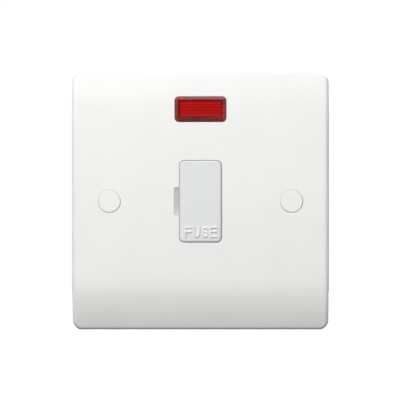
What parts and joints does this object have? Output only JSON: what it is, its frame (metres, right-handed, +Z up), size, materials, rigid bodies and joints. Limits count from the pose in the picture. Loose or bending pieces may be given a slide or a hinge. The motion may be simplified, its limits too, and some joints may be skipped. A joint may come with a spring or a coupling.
{
  "type": "fused spur unit",
  "caption": "Square white wall-plate fused connection unit with a pull-out fuse carrier, red neon indicator lens, covered fixing screws and rear screw terminals.",
  "frame": {"origin": "middle of the plate on the wall plane, halfway between the two box screws", "axes": "+X to the right as seen from the front, +Y back into the wall, +Z up; the face looks along -Y"},
  "size_m": [0.085, 0.0289, 0.085],
  "materials": {
    "plate_white": "polished moulded",
    "carrier_white": "satin moulded",
    "base_plastic": "moulded",
    "holder_white": "moulded",
    "lens_red": "translucent",
    "lamp_glass": "clear",
    "fuse_ceramic": "unglazed",
    "fuse_cap_metal": "nickel plated",
    "brass": "satin",
    "bright_steel": "zinc plated",
    "resistor_ceramic": "lacquered",
    "lead_brown": "sleeved",
    "lead_blue": "sleeved"
  },
  "bodies": {
    "body": {"front_plate": "plate_white", "rear_base": "base_plastic", "neutral_link": "brass", "earth_terminal": "brass", "neon_lens": "lens_red", "neon_holder": "holder_white", "neon_lamp": "lamp_glass", "neon_electrodes": "bright_steel", "neon_resistor": "resistor_ceramic", "neon_live_lead_upper": "lead_brown", "neon_live_lead_lower": "lead_brown", "neon_neutral_lead": "lead_blue", "fixing_screw_left": "bright_steel", "fixing_screw_right": "bright_steel", "fuse_clip_supply": "brass", "live_supply_terminal": "brass", "neutral_supply_terminal": "brass", "base_screw_supply_left": "bright_steel", "base_screw_supply_right": "bright_steel", "fuse_clip_load": "brass", "live_load_terminal": "brass", "neutral_load_terminal": "brass", "base_screw_load_left": "bright_steel", "base_screw_load_right": "bright_steel"},
    "fuse_carrier": {"fuse_carrier": "carrier_white", "fuse_barrel": "fuse_ceramic", "fuse_cap_supply": "fuse_cap_metal", "fuse_cap_load": "fuse_cap_metal"},
    "screw_cap_left": {"screw_cap_left": "plate_white"},
    "screw_cap_right": {"screw_cap_right": "plate_white"},
    "live_supply_screw": {"live_supply_screw": "bright_steel"},
    "live_load_screw": {"live_load_screw": "bright_steel"},
    "neutral_supply_screw": {"neutral_supply_screw": "bright_steel"},
    "neutral_load_screw": {"neutral_load_screw": "bright_steel"},
    "earth_screw_left": {"earth_screw_left": "bright_steel"},
    "earth_screw_right": {"earth_screw_right": "bright_steel"}
  },
  "joints": [
    {"name": "fuse_carrier_pull", "type": "slide", "parent": "body", "child": "fuse_carrier", "axis": [0, -1, 0], "range_m": [0, 0.015]},
    {"name": "screw_cap_left_pull", "type": "slide", "parent": "body", "child": "screw_cap_left", "axis": [0, -1, 0], "range_m": [0, 0.006]},
    {"name": "screw_cap_right_pull", "type": "slide", "parent": "body", "child": "screw_cap_right", "axis": [0, -1, 0], "range_m": [0, 0.006]},
    {"name": "live_supply_screw_drive", "type": "slide", "parent": "body", "child": "live_supply_screw", "axis": [0, -1, 0], "range_m": [0, 0.0034]},
    {"name": "live_load_screw_drive", "type": "slide", "parent": "body", "child": "live_load_screw", "axis": [0, -1, 0], "range_m": [0, 0.0034]},
    {"name": "neutral_supply_screw_drive", "type": "slide", "parent": "body", "child": "neutral_supply_screw", "axis": [0, -1, 0], "range_m": [0, 0.0034]},
    {"name": "neutral_load_screw_drive", "type": "slide", "parent": "body", "child": "neutral_load_screw", "axis": [0, -1, 0], "range_m": [0, 0.0034]},
    {"name": "earth_screw_left_drive", "type": "slide", "parent": "body", "child": "earth_screw_left", "axis": [0, -1, 0], "range_m": [0, 0.0034]},
    {"name": "earth_screw_right_drive", "type": "slide", "parent": "body", "child": "earth_screw_right", "axis": [0, -1, 0], "range_m": [0, 0.0034]}
  ]
}
